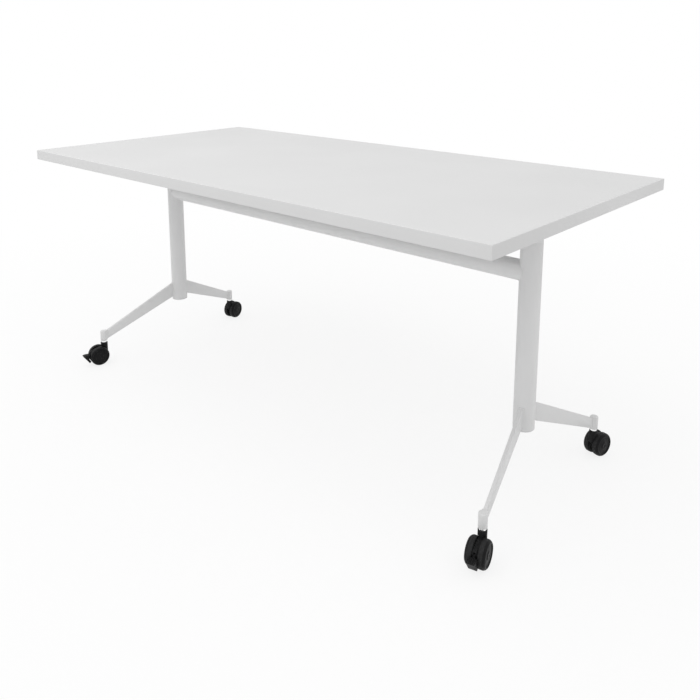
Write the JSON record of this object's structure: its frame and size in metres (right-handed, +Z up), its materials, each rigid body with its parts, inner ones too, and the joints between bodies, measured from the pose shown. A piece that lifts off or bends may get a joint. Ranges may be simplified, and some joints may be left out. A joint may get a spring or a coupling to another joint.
{
  "type": "flip-top table",
  "caption": "Rectangular flip-top multipurpose table: white board hinged on round columns with a crossbeam, splayed blade feet, swivel castors and a cam tilt lock.",
  "frame": {"origin": "on the floor, under the middle of the top", "axes": "+X along the long side, -Y towards the front with the braked castors, +Z up"},
  "size_m": [1.6, 0.8, 0.712],
  "materials": {
    "board_white": "white melamine facing, fine satin",
    "edge_white": "white edge band",
    "frame_white": "white powder coat",
    "cap_white": "white moulded plastic",
    "bracket_white": "white powder coat",
    "zinc_steel": "zinc-plated steel",
    "bush_grey": "grey bearing plastic",
    "bumper_rubber": "soft rubber",
    "saddle_black": "black moulded nylon",
    "castor_black": "black moulded nylon",
    "wheel_black": "black nylon with a fine grain"
  },
  "bodies": {
    "frame": {"left_column": "frame_white", "right_column": "frame_white", "left_column_cap": "cap_white", "right_column_cap": "cap_white", "crossbeam": "frame_white", "left_tilt_head": "frame_white", "right_tilt_head": "frame_white", "pivot_bushes": "bush_grey", "rest_bumpers": "bumper_rubber", "front_left_foot_blade": "frame_white", "front_left_castor_socket": "frame_white", "front_left_castor_stem": "zinc_steel", "rear_left_foot_blade": "frame_white", "rear_left_castor_socket": "frame_white", "rear_left_castor_stem": "zinc_steel", "front_right_foot_blade": "frame_white", "front_right_castor_socket": "frame_white", "front_right_castor_stem": "zinc_steel", "rear_right_foot_blade": "frame_white", "rear_right_castor_socket": "frame_white", "rear_right_castor_stem": "zinc_steel"},
    "top": {"table_board": "board_white", "edge_bands_long": "edge_white", "edge_bands_short": "edge_white", "left_top_bracket": "bracket_white", "right_top_bracket": "bracket_white", "bracket_screws": "zinc_steel", "left_pivot_pin": "zinc_steel", "right_pivot_pin": "zinc_steel", "pivot_clips": "zinc_steel", "left_rod_saddle": "saddle_black", "right_rod_saddle": "saddle_black", "saddle_screws": "zinc_steel"},
    "lock": {"lock_rod": "zinc_steel", "left_lock_cam": "zinc_steel", "right_lock_cam": "zinc_steel", "release_lever": "zinc_steel", "release_grip": "saddle_black", "lock_spring": "zinc_steel"},
    "front_left_castor": {"front_left_castor_housing": "castor_black", "front_left_castor_axle": "zinc_steel"},
    "front_left_wheel_a": {"front_left_wheel_a": "wheel_black"},
    "front_left_wheel_b": {"front_left_wheel_b": "wheel_black"},
    "front_left_brake": {"front_left_brake_lever": "castor_black"},
    "rear_left_castor": {"rear_left_castor_housing": "castor_black", "rear_left_castor_axle": "zinc_steel"},
    "rear_left_wheel_a": {"rear_left_wheel_a": "wheel_black"},
    "rear_left_wheel_b": {"rear_left_wheel_b": "wheel_black"},
    "front_right_castor": {"front_right_castor_housing": "castor_black", "front_right_castor_axle": "zinc_steel"},
    "front_right_wheel_a": {"front_right_wheel_a": "wheel_black"},
    "front_right_wheel_b": {"front_right_wheel_b": "wheel_black"},
    "front_right_brake": {"front_right_brake_lever": "castor_black"},
    "rear_right_castor": {"rear_right_castor_housing": "castor_black", "rear_right_castor_axle": "zinc_steel"},
    "rear_right_wheel_a": {"rear_right_wheel_a": "wheel_black"},
    "rear_right_wheel_b": {"rear_right_wheel_b": "wheel_black"}
  },
  "joints": [
    {"name": "top_flip", "type": "hinge", "parent": "frame", "child": "top", "pos_m": [0, -0.032, 0.66], "axis": [1, 0, 0], "range_deg": [0, 90]},
    {"name": "lock_turn", "type": "hinge", "parent": "top", "child": "lock", "pos_m": [0, -0.01, 0.671], "axis": [1, 0, 0], "range_deg": [0, 7], "stiffness_Nm_per_rad": 8, "springref_deg": -14.32},
    {"name": "front_left_swivel", "type": "hinge", "parent": "frame", "child": "front_left_castor", "pos_m": [-0.72, -0.263, 0.03], "axis": [0, 0, 1], "continuous": true},
    {"name": "front_left_wheel_a_spin", "type": "hinge", "parent": "front_left_castor", "child": "front_left_wheel_a", "pos_m": [-0.72416, -0.28205, 0.03], "axis": [0.9769, -0.2136, 0], "continuous": true},
    {"name": "front_left_wheel_b_spin", "type": "hinge", "parent": "front_left_castor", "child": "front_left_wheel_b", "pos_m": [-0.72416, -0.28205, 0.03], "axis": [0.9769, -0.2136, 0], "continuous": true},
    {"name": "front_left_brake_press", "type": "hinge", "parent": "front_left_castor", "child": "front_left_brake", "pos_m": [-0.7278, -0.29866, 0.04], "axis": [0.9769, -0.2136, 0], "range_deg": [-9, 3.5]},
    {"name": "rear_left_swivel", "type": "hinge", "parent": "frame", "child": "rear_left_castor", "pos_m": [-0.72, 0.263, 0.03], "axis": [0, 0, 1], "continuous": true},
    {"name": "rear_left_wheel_a_spin", "type": "hinge", "parent": "rear_left_castor", "child": "rear_left_wheel_a", "pos_m": [-0.72416, 0.28205, 0.03], "axis": [-0.9769, -0.2136, 0], "continuous": true},
    {"name": "rear_left_wheel_b_spin", "type": "hinge", "parent": "rear_left_castor", "child": "rear_left_wheel_b", "pos_m": [-0.72416, 0.28205, 0.03], "axis": [-0.9769, -0.2136, 0], "continuous": true},
    {"name": "front_right_swivel", "type": "hinge", "parent": "frame", "child": "front_right_castor", "pos_m": [0.72, -0.263, 0.03], "axis": [0, 0, 1], "continuous": true},
    {"name": "front_right_wheel_a_spin", "type": "hinge", "parent": "front_right_castor", "child": "front_right_wheel_a", "pos_m": [0.72416, -0.28205, 0.03], "axis": [0.9769, 0.2136, 0], "continuous": true},
    {"name": "front_right_wheel_b_spin", "type": "hinge", "parent": "front_right_castor", "child": "front_right_wheel_b", "pos_m": [0.72416, -0.28205, 0.03], "axis": [0.9769, 0.2136, 0], "continuous": true},
    {"name": "front_right_brake_press", "type": "hinge", "parent": "front_right_castor", "child": "front_right_brake", "pos_m": [0.7278, -0.29866, 0.04], "axis": [0.9769, 0.2136, 0], "range_deg": [-9, 3.5]},
    {"name": "rear_right_swivel", "type": "hinge", "parent": "frame", "child": "rear_right_castor", "pos_m": [0.72, 0.263, 0.03], "axis": [0, 0, 1], "continuous": true},
    {"name": "rear_right_wheel_a_spin", "type": "hinge", "parent": "rear_right_castor", "child": "rear_right_wheel_a", "pos_m": [0.72416, 0.28205, 0.03], "axis": [-0.9769, 0.2136, 0], "continuous": true},
    {"name": "rear_right_wheel_b_spin", "type": "hinge", "parent": "rear_right_castor", "child": "rear_right_wheel_b", "pos_m": [0.72416, 0.28205, 0.03], "axis": [-0.9769, 0.2136, 0], "continuous": true}
  ]
}
